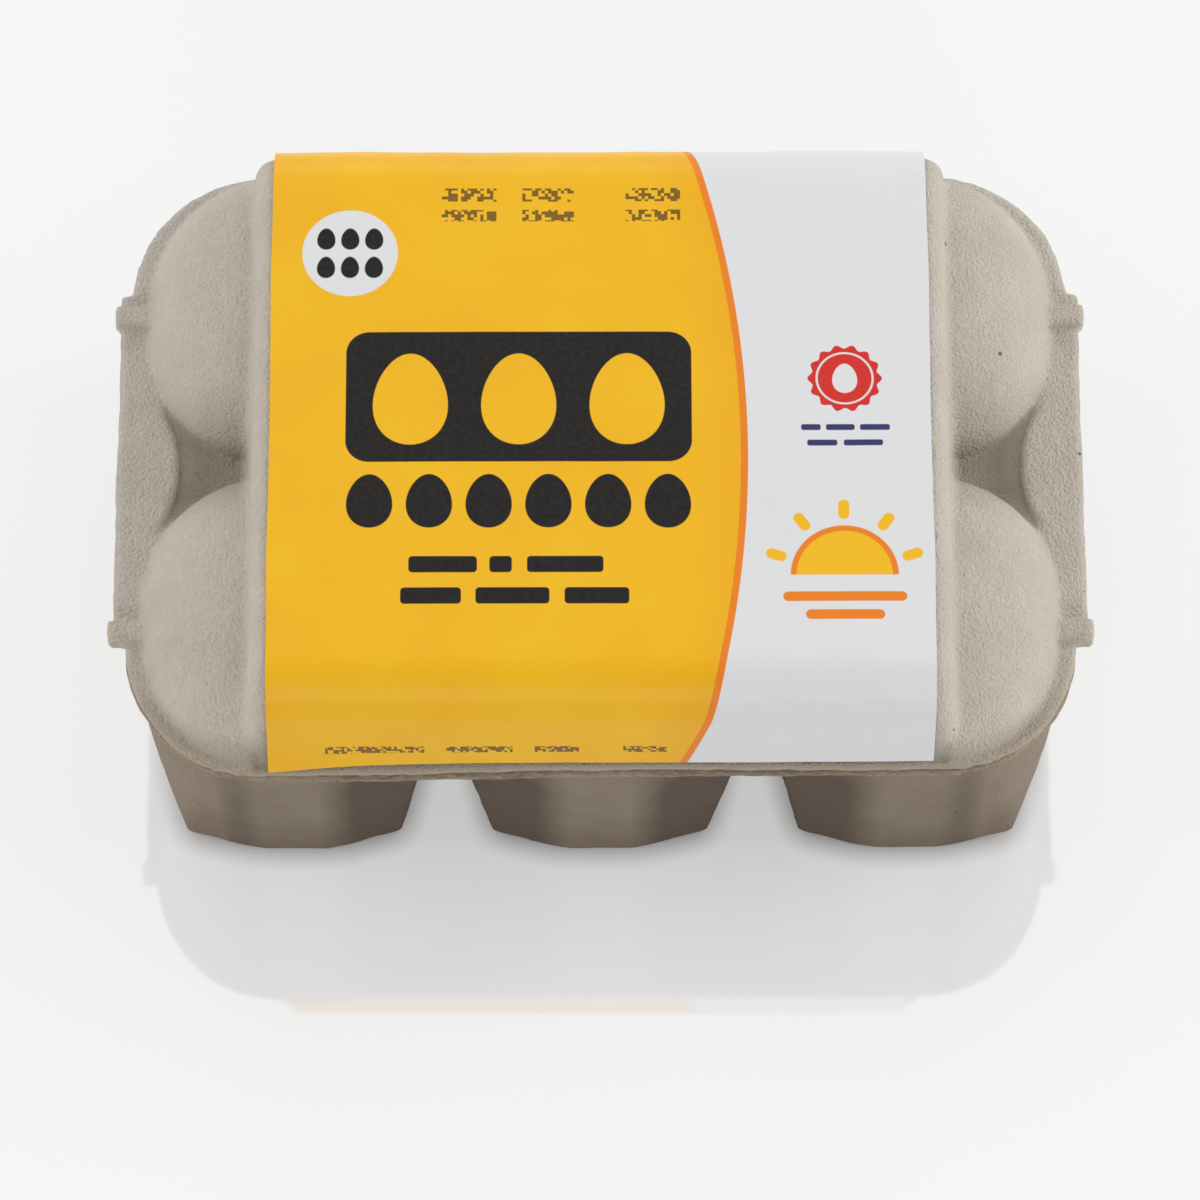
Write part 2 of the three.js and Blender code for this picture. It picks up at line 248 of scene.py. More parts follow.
def lid_distance(x, y, z):
    flange_top = z - (SEAM_Z + LID_FLANGE_THICKNESS)
    flange = round_edge(rim_outline(x, y, 11), flange_top, 0.6)
    shallow = ramp(np.abs(y), PIT_LEVEL_Y, PIT_HALF_WIDTH)
    depth = SEAM_Z + LID_FLANGE_THICKNESS - PIT_FLOOR_Z
    pit = soft_max(pit_plan(x, y, 0), PIT_FLOOR_Z + depth * shallow - z, 0.6)
    flange = soft_max(flange, -pit, 0.45)
    domes = np.minimum(dome_distance(x, y, z, 1), dome_distance(x, y, z, -1))
    body = soft_min(flange, domes, 0.8)
    body = soft_min(body, panel_distance(x, y, z), 1.0)
    body = soft_min(body, lug_distance(x, y, z), 0.4)
    plug = np.maximum(pit_plan(x, y, PIT_WALL), PIT_FLOOR_Z - PIT_WALL - z)
    body = np.maximum(body, np.minimum(SEAM_Z - z, plug))
    return soft_min(body, hinge_distance(x, y, z), 0.5)


def cup_distance(x, y, z):
    """The nearest of the six cups, folded onto one quarter of a cup."""
    column = np.clip(np.round(x / PITCH_X), -1, 1)
    u = np.abs(x - column * PITCH_X)
    v = np.abs(np.abs(y) - PITCH_Y / 2)
    corners = [
        (FOOT_HALF_WIDTH, 0),
        (FOOT_HALF_WIDTH, FOOT_FACET_HALF_WIDTH),
        (FOOT_CORNER, FOOT_CORNER),
        (FOOT_FACET_HALF_WIDTH, FOOT_HALF_WIDTH),
        (0, FOOT_HALF_WIDTH),
    ]
    result = None
    for (ax, ay), (bx, by) in zip(corners, corners[1:]):
        length = math.hypot(bx - ax, by - ay)
        nx, ny = (by - ay) / length, (ax - bx) / length
        reach = nx * ax + ny * ay
        tilt = math.hypot(1, reach * CUP_GROWTH)
        wall = (nx * u + ny * v - reach * (1 + CUP_GROWTH * z)) / tilt
        result = wall if result is None else soft_max(result, wall, 0.5)
    facet_sum = FOOT_HALF_WIDTH + FOOT_FACET_HALF_WIDTH
    lift = FOOT_CORNER_LIFT / (2 * FOOT_CORNER - facet_sum)
    sole = (lift * (u + v - facet_sum) - z) / math.sqrt(1 + 2 * lift * lift)
    sole = soft_max(sole, -z, 0.3)
    return soft_max(result, sole, 0.6)


def web_distance(x, y, z):
    grow = WEB_DRAFT * (z - WEB_BOTTOM_Z)
    half_x = PITCH_X + WEB_REACH + grow
    half_y = PITCH_Y / 2 + WEB_REACH + grow
    plan = round_rectangle(x, y, half_x, half_y, 2.0)
    return soft_max(plan, WEB_BOTTOM_Z - z, 2.0)


def tray_distance(x, y, z):
    flange_low = TRAY_TOP_Z - TRAY_FLANGE_THICKNESS
    body = soft_min(cup_distance(x, y, z), web_distance(x, y, z), 3.0)
    rim_radius = RIM_CORNER_RADIUS - TRAY_WALL_INSET
    narrowing = (rim_radius - BODY_RADIUS_AT_FLOOR) * (1 - z / TRAY_TOP_Z)
    tub = round_rectangle(
        x, y,
        RIM_HALF_LENGTH - TRAY_WALL_INSET - narrowing,
        RIM_HALF_DEPTH - TRAY_WALL_INSET - narrowing,
        rim_radius - narrowing)
    body = soft_max(body, tub, 0.8)
    upright = np.abs(z - (TRAY_TOP_Z + flange_low) / 2) - TRAY_FLANGE_THICKNESS / 2
    flange = round_edge(rim_outline(x, y, 31), upright, 0.7)
    body = soft_min(body, flange, 1.6)
    boss = np.maximum(pit_plan(x, y, PIT_ROOM + PIT_WALL), PIT_BOSS_Z - z)
    body = soft_min(body, np.maximum(boss, z - flange_low - 1), 0.6)
    pocket = np.maximum(pit_plan(x, y, PIT_ROOM), PIT_FLOOR_Z - PIT_ROOM - z)
    body = np.maximum(body, -pocket)
    hinge_room = np.maximum(HINGE_ROOM_Y - y, np.abs(x) - (HINGE_HALF_LENGTH + 0.3))
    body = np.maximum(body, -hinge_room)
    return np.maximum(body, z - TRAY_TOP_Z)


# Meshes


def crossed_cells(inside, cell_shape):
    """Marks the grid cells that have corners both inside and outside."""
    count = np.zeros(cell_shape, np.int8)
    for i in (0, 1):
        for j in (0, 1):
            for k in (0, 1):
                count += inside[i:i + cell_shape[0], j:j + cell_shape[1], k:k + cell_shape[2]]
    return (count > 0) & (count < 8)


def cell_points(field, cells):
    """For each cell the sum, in steps, of where its edges cross the surface, and their count."""
    total = np.zeros((len(cells), 3))
    hits = np.zeros(len(cells))
    for axis in range(3):
        side_a, side_b = [k for k in range(3) if k != axis]
        for a in (0, 1):
            for b in (0, 1):
                start = np.zeros(3, np.int64)
                start[side_a] = a
                start[side_b] = b
                end = start.copy()
                end[axis] = 1
                near = field[tuple((cells + start).T)]
                far = field[tuple((cells + end).T)]
                crossing = (near < 0) != (far < 0)
                share = near / np.where(crossing, near - far, 1)
                point = (cells + start).astype(float)
                point[:, axis] += share
                total[crossing] += point[crossing]
                hits[crossing] += 1
    return total, hits


def net_quads(inside, number, cell_shape):
    """A quad round each grid edge that crosses the surface, wound to face outward."""
    quads = []
    for axis in range(3):
        side_a, side_b = (axis + 1) % 3, (axis + 2) % 3
        near = np.moveaxis(inside, axis, 0)[:-1]
        far = np.moveaxis(inside, axis, 0)[1:]
        change = np.moveaxis(near != far, 0, axis)
        start_inside = np.moveaxis(near, 0, axis)
        edges = np.argwhere(change)
        keep = (edges[:, side_a] > 0) & (edges[:, side_b] > 0)
        keep &= (edges[:, side_a] < cell_shape[side_a]) & (edges[:, side_b] < cell_shape[side_b])
        edges = edges[keep]
        step_a = np.eye(3, dtype=np.int64)[side_a]
        step_b = np.eye(3, dtype=np.int64)[side_b]
        ring = [edges, edges - step_a, edges - step_a - step_b, edges - step_b]
        quad = np.stack([number[tuple(c.T)] for c in ring], 1)
        outward = start_inside[tuple(edges.T)]
        quad[~outward] = quad[~outward][:, ::-1]
        quads.append(quad)
    return np.concatenate(quads)


def surface_net(distance, low, high, step):
    """Corner points and quads of a net laid round the surface of distance."""
    axes = [np.arange(a, b + step, step) for a, b in zip(low, high)]
    x, y, z = np.meshgrid(*axes, indexing="ij")
    field = distance(x, y, z)
    inside = field < 0
    cell_shape = tuple(n - 1 for n in field.shape)
    active = crossed_cells(inside, cell_shape)
    number = np.full(cell_shape, -1, np.int64)
    number[active] = np.arange(active.sum())
    total, hits = cell_points(field, np.argwhere(active))
    points = np.array(low) + step * total / hits[:, None]
    return points, net_quads(inside, number, cell_shape)


def gradient(distance, points):
    """The slope of distance at each point, from a short step to either side."""
    reach = 0.04
    parts = []
    for axis in range(3):
        shift = np.zeros(3)
        shift[axis] = reach
        ahead = distance(*(points + shift).T)
        behind = distance(*(points - shift).T)
        parts.append((ahead - behind) / (2 * reach))
    return np.stack(parts, 1)


def settle(distance, points, rounds=2):
    """Pulls points onto the surface."""
    for _ in range(rounds):
        slope = gradient(distance, points)
        size = np.maximum((slope ** 2).sum(1), 0.2)
        move = -(distance(*points.T) / size)[:, None] * slope
        points = points + np.clip(move, -0.4, 0.4)
    return points


def make_object(name, points, faces):
    mesh = bpy.data.meshes.new(name)
    mesh.from_pydata((points * MM).tolist(), [], faces.tolist())
    mesh.validate()
    mesh.polygons.foreach_set("use_smooth", np.ones(len(mesh.polygons), bool))
    mesh.update()
    piece = bpy.data.objects.new(name, mesh)
    bpy.context.scene.collection.objects.link(piece)
    return piece


def rim_dip(points):
    """The front rim hangs a little lower and further out towards the left."""
    x, y, z = points.T
    left = ramp(x, 5, -45)
    share = left * left * (3 - 2 * left)
    share = share * ramp(y, -42, -49) * ramp(z, 38, 46)
    share = share * ramp(z, 56, 51)
    return points + np.stack([np.zeros_like(x), -RIM_OUTWARD * share, -RIM_DROP * share], 1)


def pulp_piece(name, distance, low, high, step, seed, flat_heights):
    """A moulded pulp piece with a slightly uneven surface that stays flat at some heights."""
    points, faces = surface_net(distance, low, high, step)
    points = settle(distance, points)
    slope = gradient(distance, points)
    normal = slope / np.maximum(np.linalg.norm(slope, axis=1), 1e-6)[:, None]
    x, y, z = points.T
    bump = 0.10 * noise(x, y, z, 11.0, seed) + 0.045 * noise(x, y, z, 3.1, seed + 1)
    bump += 0.03 * noise(x, y, z, 1.4, seed + 2)
    # Where two pieces face each other and where the carton stands, the surface stays flat
    for flat_z in flat_heights:
        bump = np.where(np.abs(z - flat_z) < 0.15, 0, bump)
    points = rim_dip(points + normal * bump[:, None])
    return make_object(name, points, faces)


def label_profile():
    """Rows down the label's cross-section: arc position, y, z and outward direction."""
    draft = math.atan(PANEL_DRAFT)
    fold_z = LID_TOP_Z - PANEL_FOLD_RADIUS
    wall_y = PANEL_HALF_DEPTH - PANEL_DRAFT * (fold_z - SEAM_Z)
    fold_y = wall_y - PANEL_FOLD_RADIUS * math.hypot(1, PANEL_DRAFT)
    fold_length = PANEL_FOLD_RADIUS * (math.pi / 2 - draft)
    wall_top_z = fold_z + PANEL_FOLD_RADIUS * math.sin(draft)
    wall_length = (wall_top_z - LABEL_LOWER_Z) / math.cos(draft)
    fold_end = fold_y + fold_length
    half = np.concatenate([
        np.linspace(0, fold_y, LABEL_ROWS // 4, endpoint=False),
        np.linspace(fold_y, fold_end, LABEL_ROWS // 7, endpoint=False),
        np.linspace(fold_end, fold_end + wall_length, LABEL_ROWS // 8),
    ])
    arc = np.concatenate([-half[:0:-1], half])
    distance = np.abs(arc)
    side = np.where(arc < 0, -1.0, 1.0)
    turn = np.clip((distance - fold_y) / PANEL_FOLD_RADIUS, 0, math.pi / 2 - draft)
    angle = math.pi / 2 - turn
    down = np.maximum(distance - fold_end, 0)
    flat_y = np.minimum(distance, fold_y)
    y = flat_y + PANEL_FOLD_RADIUS * np.cos(angle) + down * math.sin(draft)
    z = fold_z + PANEL_FOLD_RADIUS * np.sin(angle) - down * math.cos(draft)
    return arc, side * y, z, side * np.cos(angle), np.sin(angle)


def label_piece(name):
    """The paper sleeve: an outer and an inner sheet joined round the edge."""
    arc, y, z, out_y, out_z = label_profile()
    columns = np.linspace(-LABEL_HALF_LENGTH, LABEL_HALF_LENGTH, LABEL_COLUMNS)
    x, arc = np.meshgrid(columns, arc)
    y, z, out_y, out_z = (np.repeat(v[:, None], LABEL_COLUMNS, 1) for v in (y, z, out_y, out_z))
    flat = np.zeros_like(x)
    wave = 0.16 * (1 + noise(x, arc, flat, 19.0, 51)) + 0.05 * (1 + noise(x, arc, flat, 6.0, 52))
    low = ramp(np.abs(arc), 51, 62) ** 2
    left = ramp(x, -12, -50) ** 2
    flare = np.where(arc < 0, low * (0.25 + LABEL_FLARE * left), 0.3 * low)
    drop = np.where(arc < 0, LABEL_DROP * left * low, 0)
    at_end = np.abs(x) > LABEL_HALF_LENGTH - 0.01
    cut = 0.12 * noise(flat, arc, flat, 12.0, 53) * np.sign(x) * at_end
    sheets = []
    for offset in (LABEL_OUTER, LABEL_INNER):
        reach = offset + wave + flare
        sheet = np.stack([x + cut, y + out_y * reach, z + out_z * reach - drop], -1)
        sheets.append(sheet.reshape(-1, 3))
    rows = x.shape[0]
    count = rows * LABEL_COLUMNS
    index = np.arange(count).reshape(rows, LABEL_COLUMNS)
    corner = [index[:-1, :-1], index[:-1, 1:], index[1:, 1:], index[1:, :-1]]
    outer = np.stack([c.ravel() for c in corner], 1)
    inner = outer[:, ::-1] + count
    border = np.concatenate([index[0, :-1], index[:-1, -1], index[-1, :0:-1], index[:0:-1, 0]])
    onward = np.roll(border, -1)
    edge = np.stack([border, border + count, onward + count, onward], 1)
    piece = make_object(name, np.concatenate(sheets), np.concatenate([outer, inner, edge]))
    piece.data.set_sharp_from_angle(angle=math.radians(50))
    place = np.stack([x, arc, flat], -1).reshape(-1, 3)
    layer = piece.data.attributes.new("print_place", "FLOAT_VECTOR", "POINT")
    layer.data.foreach_set("vector", np.concatenate([place, place]).ravel())
    return piece


# Materials


def paint(red, green, blue):
    """A colour given as 0 to 255 screen values, as linear values with full alpha."""
    linear = [((v / 255 + 0.055) / 1.055) ** 2.4 if v > 10 else v / 255 / 12.92 for v in (red, green, blue)]
    return (*linear, 1.0)


class Graph:
    """One material's nodes, with short calls for sums and for shapes in the plane.

    A shape is a distance in millimetres, below zero inside.
    """

    def __init__(self, name):
        self.material = bpy.data.materials.new(name)
        self.material.use_nodes = True
        self.tree = self.material.node_tree
        self.tree.nodes.clear()
        output = self.tree.nodes.new("ShaderNodeOutputMaterial")
        self.shader = self.tree.nodes.new("ShaderNodeBsdfPrincipled")
        self.tree.links.new(self.shader.outputs["BSDF"], output.inputs["Surface"])

    def plug(self, socket, value):
        if isinstance(value, bpy.types.NodeSocket):
            self.tree.links.new(value, socket)
        else:
            socket.default_value = value

    def math(self, operation, a, b=0.0, c=0.0, clamp=False):
        node = self.tree.nodes.new("ShaderNodeMath")
        node.operation = operation
        node.use_clamp = clamp
        for socket, value in zip(node.inputs, (a, b, c)):
            self.plug(socket, value)
        return node.outputs[0]

    def vector(self, operation, a, b=(0, 0, 0), scale=None):
        node = self.tree.nodes.new("ShaderNodeVectorMath")
        node.operation = operation
        self.plug(node.inputs[0], a)
        if scale is None:
            self.plug(node.inputs[1], b)
        else:
            self.plug(node.inputs["Scale"], scale)
        return node.outputs[0]

    def split(self, vector):
        node = self.tree.nodes.new("ShaderNodeSeparateXYZ")
        self.plug(node.inputs[0], vector)
        return node.outputs

    def join(self, x, y, z=0.0):
        node = self.tree.nodes.new("ShaderNodeCombineXYZ")
        for socket, value in zip(node.inputs, (x, y, z)):
            self.plug(socket, value)
        return node.outputs[0]

    def mix(self, share, a, b):
        node = self.tree.nodes.new("ShaderNodeMix")
        node.data_type = "RGBA"
        self.plug(node.inputs["Factor"], share)
        self.plug(node.inputs[6], a)
        self.plug(node.inputs[7], b)
        return node.outputs[2]

    def noise(self, vector, scale, detail=2.0, roughness=0.5):
        node = self.tree.nodes.new("ShaderNodeTexNoise")
        self.plug(node.inputs["Vector"], vector)
        node.inputs["Scale"].default_value = scale
        node.inputs["Detail"].default_value = detail
        node.inputs["Roughness"].default_value = roughness
        return node.outputs["Fac"]

    def white_noise(self, vector):
        node = self.tree.nodes.new("ShaderNodeTexWhiteNoise")
        node.noise_dimensions = "3D"
        self.plug(node.inputs["Vector"], vector)
        return node.outputs["Value"]

    def spread(self, value, low, high, to_low=0.0, to_high=1.0):
        node = self.tree.nodes.new("ShaderNodeMapRange")
        self.plug(node.inputs["Value"], value)
        for socket, number in zip(node.inputs[1:5], (low, high, to_low, to_high)):
            socket.default_value = number
        return node.outputs[0]

    def bump(self, height, distance, strength, normal=None):
        node = self.tree.nodes.new("ShaderNodeBump")
        self.plug(node.inputs["Height"], height)
        node.inputs["Distance"].default_value = distance
        node.inputs["Strength"].default_value = strength
        if normal is not None:
            self.plug(node.inputs["Normal"], normal)
        return node.outputs[0]

    def length(self, x, y):
        return self.math("SQRT", self.math("ADD", self.math("MULTIPLY", x, x), self.math("MULTIPLY", y, y)))

    def oval(self, x, y, centre, half, taper=0.0):
        """Distance to an oval; taper narrows its upper end."""
        u = self.math("DIVIDE", self.math("SUBTRACT", x, centre[0]), half[0])
        v = self.math("DIVIDE", self.math("SUBTRACT", y, centre[1]), half[1])
        if taper:
            u = self.math("DIVIDE", u, self.math("MULTIPLY_ADD", v, -taper, 1.0))
        return self.math("MULTIPLY", self.math("SUBTRACT", self.length(u, v), 1.0), min(half))

    def bar(self, x, y, centre, half, radius):
        """Distance to a rectangle with round corners."""
        u = self.math("ABSOLUTE", self.math("SUBTRACT", x, centre[0]))
        v = self.math("ABSOLUTE", self.math("SUBTRACT", y, centre[1]))
        u = self.math("MAXIMUM", self.math("SUBTRACT", u, half[0] - radius), 0.0)
        v = self.math("MAXIMUM", self.math("SUBTRACT", v, half[1] - radius), 0.0)
        return self.math("SUBTRACT", self.length(u, v), radius)

    def union(self, distances):
        result = distances[0]
        for distance in distances[1:]:
            result = self.math("MINIMUM", result, distance)
        return result

    def fill(self, distance, soft=0.12):
        """1 inside the shape and 0 outside, with an edge soft millimetres wide."""
        return self.math("SUBTRACT", 0.5, self.math("DIVIDE", distance, soft), clamp=True)


# Pulp colours: painted shade for the front rim, the pits and the cups, pale torn-edge fibres and dark
# specks
PAINTED_SHADE_BROWN = paint(140, 126, 110)
EDGE_FIBRE = paint(186, 164, 136)
CUP_LOW_PAINTED_SHADE = paint(104, 88, 74)
CUP_SIDE_PAINTED_SHADE = paint(80, 66, 54)
SPECK_BROWN = paint(62, 52, 46)


def cup_painted_shade(graph, color, place):
    """Painted shade on the cups: darker and browner low down and beside their middle facets, most at the
    front.
    """
    x, y, z = graph.split(place)
    front = graph.spread(y, -24.0, -36.0, 0.35, 1.0)
    low = graph.math("MULTIPLY", graph.spread(z, 44.0, 4.0, 0.1, 0.7), front)
    low = graph.math("MAXIMUM", low, graph.spread(y, -24.0, -40.0, 0.0, 0.42))
    color = graph.mix(low, color, CUP_LOW_PAINTED_SHADE)
    column = graph.math("ROUND", graph.math("DIVIDE", x, PITCH_X))
    column = graph.math("MINIMUM", graph.math("MAXIMUM", column, -1.0), 1.0)
    u = graph.math("SUBTRACT", x, graph.math("MULTIPLY", column, PITCH_X))
    beside = graph.spread(graph.math("ABSOLUTE", u), 4.6, 10.0, 0.0, 0.8)
    inner = graph.spread(graph.math("ABSOLUTE", x), 60.0, 56.0)
    beside = graph.math("MULTIPLY", graph.math("MULTIPLY", beside, inner), front)
    return graph.mix(beside, color, CUP_SIDE_PAINTED_SHADE)


def scaled(color, factor):
    """A linear colour made lighter or darker."""
    return tuple(min(factor * v, 1) for v in color[:3]) + (1,)


def painted_shade_and_torn_fibres(graph, color, place, fibre):
    """Painted shade along the front rim and in the pits, and pale fibres at the torn edge."""
    x, y, _ = graph.split(place)
    rim = graph.union([
        graph.bar(x, y, (0.0, 0.0), (RIM_HALF_LENGTH, RIM_HALF_DEPTH), RIM_CORNER_RADIUS),
        graph.bar(x, y, (0.0, LEDGE_MIDDLE_Y), (LEDGE_HALF_LENGTH, LEDGE_HALF_DEPTH), 0.8),
    ])
    # Painted shade: a darker band along the front rim, where the domes shade the flange
    front = graph.spread(y, -42.0, -30.0, 1.0, 0.0)
    front_band_painted_shade = graph.math("MULTIPLY", graph.spread(rim, -3.4, -1.0, 0.0, 0.55), front)
    color = graph.mix(front_band_painted_shade, color, PAINTED_SHADE_BROWN)
    # Painted shade in the pits between the domes and the panel
    reach_x = graph.math("ABSOLUTE", x)
    pit_painted_shade = graph.math("MULTIPLY", graph.spread(reach_x, 54.8, 56.4), graph.spread(reach_x, 67.0, 61.0))
    pit_painted_shade = graph.math("MULTIPLY", pit_painted_shade, graph.spread(graph.math("ABSOLUTE", y), 3.0, 12.0, 0.5, 0.0))
    color = graph.mix(pit_painted_shade, color, PAINTED_SHADE_BROWN)
    torn = graph.math("MULTIPLY", graph.spread(rim, -0.9, -0.2), graph.spread(fibre, 0.4, 0.6))
    return graph.mix(graph.math("MULTIPLY", torn, 0.4), color, EDGE_FIBRE)


def speckled(graph, color, place):
    """Rare dark specks of differing size."""
    speck = graph.tree.nodes.new("ShaderNodeTexVoronoi")
    graph.plug(speck.inputs["Vector"], place)
    speck.inputs["Scale"].default_value = 0.24
    rare = graph.math("GREATER_THAN", graph.split(speck.outputs["Color"])[0], 0.86)
    size = graph.math("MULTIPLY_ADD", graph.split(speck.outputs["Color"])[1], 0.05, 0.045)
    spot = graph.math("LESS_THAN", speck.outputs["Distance"], size)
    spot = graph.math("MULTIPLY", graph.math("MULTIPLY", spot, rare), 0.75)
    return graph.mix(spot, color, SPECK_BROWN)


def pulp_material(name, light, dark, seed, cups=False):
    """Moulded pulp: matt grey-beige with a fibre grain, mottling and dark specks, and painted shade along
    the front rim, in the pits and, with cups, on the tray's cups.
    """
    graph = Graph(name)
    coordinate = graph.tree.nodes.new("ShaderNodeTexCoord").outputs["Object"]
    place = graph.vector("SCALE", coordinate, scale=1000.0)
    place = graph.vector("ADD", place, (seed, 0, 0))
    mottle = graph.noise(place, 0.11, 3.0, 0.6)
    grain = graph.noise(place, 1.7, 4.0, 0.65)
    fibre_place = graph.vector("MULTIPLY", place, (0.45, 1.5, 1.0))
    fibre = graph.noise(fibre_place, 1.5, 3.0, 0.7)

    color = graph.mix(graph.spread(mottle, 0.3, 0.7), light, dark)
    grain_share = graph.spread(grain, 0.36, 0.66, 0.0, 0.6)
    color = graph.mix(grain_share, color, scaled(light, 0.82))
    fibre_share = graph.spread(fibre, 0.56, 0.74, 0.0, 0.18)
    color = graph.mix(fibre_share, color, scaled(light, 1.18))
    own_place = graph.vector("SCALE", coordinate, scale=1000.0)
    # Painted shade on the tray's cups
    if cups:
        color = cup_painted_shade(graph, color, own_place)
    # Painted shade along the front rim and in the pits, and pale fibres at the torn edge
    color = painted_shade_and_torn_fibres(graph, color, own_place, fibre)
    color = speckled(graph, color, place)

    graph.plug(graph.shader.inputs["Base Color"], color)
    graph.shader.inputs["Roughness"].default_value = 0.93
    graph.shader.inputs["Specular IOR Level"].default_value = 0.22
    height = graph.math("MULTIPLY_ADD", grain, 0.8, graph.math("MULTIPLY", fibre, 0.2))
    fine = graph.bump(height, 0.00025, 0.6)
    pitted = graph.bump(graph.noise(place, 2.1, 1.0, 0.5), 0.0005, 0.75, fine)
    broad = graph.bump(graph.noise(place, 0.4, 1.0), 0.0004, 0.4, pitted)
    graph.plug(graph.shader.inputs["Normal"], broad)
    return graph.material


YELLOW = paint(239, 184, 24)
AMBER = paint(234, 168, 18)
ORANGE = paint(232, 128, 28)
PAPER_WHITE = paint(220, 220, 221)
PAPER_FIBRE = paint(250, 240, 225)
BLACK = paint(26, 22, 20)
RED = paint(208, 44, 36)
NAVY = paint(52, 52, 104)
CODE_BROWN = paint(84, 60, 26)


def layer(graph, color, distance, ink):
    """Prints one ink over color, inside the shape."""
    return graph.mix(graph.fill(distance), color, ink)


def dotted_code(graph, x, y, centre, half, cell, density):
    """Small printed marks in a strip: cells of a fine grid filled at random."""
    column = graph.math("FLOOR", graph.math("DIVIDE", x, cell[0]))
    row = graph.math("FLOOR", graph.math("DIVIDE", y, cell[1]))
    chance = graph.white_noise(graph.join(column, row, 3.0))
    group = graph.math("FLOOR", graph.math("DIVIDE", x, 8 * cell[0]))
    word = graph.white_noise(graph.join(group, 1.0, 7.0))
    filled = graph.math("LESS_THAN", chance, density)
    filled = graph.math("MULTIPLY", filled, graph.math("LESS_THAN", word, 0.8))
    return graph.math("MULTIPLY", filled, graph.fill(graph.bar(x, y, centre, half, 0.2)))


def sunrise(graph, x, y, color):
    """Half a sun with five rays over two bars, in yellow and orange."""
    centre = (37.0, -27.0)
    above = graph.math("SUBTRACT", centre[1], y)
    rim = graph.math("MAXIMUM", graph.oval(x, y, centre, (8.2, 8.2)), above)
    color = layer(graph, color, rim, ORANGE)
    core = graph.math("MAXIMUM", graph.oval(x, y, centre, (7.3, 7.3)), above)
    color = layer(graph, color, core, YELLOW)
    rays = []
    for step in range(5):
        angle = math.radians(18 + 36 * step)
        along_x, along_y = math.cos(angle), math.sin(angle)
        u = graph.math("SUBTRACT", x, centre[0])
        v = graph.math("SUBTRACT", y, centre[1])
        along = graph.math(
            "ADD", graph.math("MULTIPLY", u, along_x), graph.math("MULTIPLY", v, along_y))
        across = graph.math(
            "SUBTRACT", graph.math("MULTIPLY", v, along_x), graph.math("MULTIPLY", u, along_y))
        rays.append(graph.bar(along, across, (10.9, 0.0), (1.6, 0.85), 0.8))
    color = layer(graph, color, graph.union(rays), YELLOW)
    bars = [
        graph.bar(x, y, (centre[0], centre[1] - 3.6), (9.4, 0.8), 0.8),
        graph.bar(x, y, (centre[0], centre[1] - 6.6), (6.0, 0.8), 0.8),
    ]
    return layer(graph, color, graph.union(bars), ORANGE)


def rosette(graph, x, y, color):
    """A red seal with a scalloped edge and a white oval, over two navy dashes."""
    centre = (37.5, 6.0)
    u = graph.math("SUBTRACT", x, centre[0])
    v = graph.math("SUBTRACT", y, centre[1])
    wave = graph.math("COSINE", graph.math("MULTIPLY", graph.math("ARCTAN2", v, u), 14.0))
    edge = graph.math("SUBTRACT", graph.length(u, v), graph.math("MULTIPLY_ADD", wave, 0.32, 5.4))
    color = layer(graph, color, edge, RED)
    ring = graph.math("SUBTRACT", graph.math("ABSOLUTE", graph.oval(x, y, centre, (4.3, 4.3))), 0.16)
    color = layer(graph, color, ring, PAPER_WHITE)
    color = layer(graph, color, graph.oval(x, y, centre, (1.9, 2.5), 0.14), PAPER_WHITE)
    dashes = []
    for shift, half in ((-5.3, 1.5), (-0.8, 2.2), (4.5, 2.3)):
        dashes.append(graph.bar(x, y, (centre[0] + shift, centre[1] - 8.3), (half, 0.5), 0.35))
    for shift, half in ((-3.6, 2.3), (2.7, 3.0)):
        dashes.append(graph.bar(x, y, (centre[0] + shift, centre[1] - 10.9), (half, 0.5), 0.35))
    return layer(graph, color, graph.union(dashes), NAVY)


def egg_badge(graph, x, y, color):
    """A black panel with three ovals left open, and a row of six ovals below it."""
    panel = graph.bar(x, y, (-12.5, 3.0), (26.5, 11.0), 3.6)
    gaps = [graph.oval(x, y, (-12.5 + 16.6 * k, 2.6), (5.7, 7.7), 0.14) for k in (-1, 0, 1)]
    open_panel = graph.math("MAXIMUM", panel, graph.math("MULTIPLY", graph.union(gaps), -1.0))
    color = layer(graph, color, open_panel, BLACK)
    pitch = 9.1
    row = [graph.oval(x, y, (-35.25 + pitch * k, -14.6), (3.5, 4.5), 0.14) for k in range(6)]
    return layer(graph, color, graph.union(row), BLACK)


def word_bars(graph, x, y, color):
    """Two rows of plain dashes where small print would stand."""
    rows = (
        (-25.2, ((-24.0, 5.2), (-15.2, 1.7), (-5.4, 5.8))),
        (-30.4, ((-25.8, 4.6), (-13.4, 5.6), (-0.6, 4.9))),
    )
    bars = []
    for height, words in rows:
        for middle, half in words:
            bars.append(graph.bar(x, y, (middle, height), (half, 1.35), 0.6))
    return layer(graph, color, graph.union(bars), BLACK)


def count_disc(graph, x, y, color):
    """A white disc with two rows of three dots."""
    centre = (-38.6, 27.6)
    color = layer(graph, color, graph.oval(x, y, centre, (7.4, 7.4)), PAPER_WHITE)
    dots = []
    for column in (-1, 0, 1):
        for row in (-1, 1):
            spot = (centre[0] + 3.7 * column, centre[1] + 2.45 * row)
            dots.append(graph.oval(x, y, spot, (1.4, 1.85), 0.14))
    return layer(graph, color, graph.union(dots), BLACK)


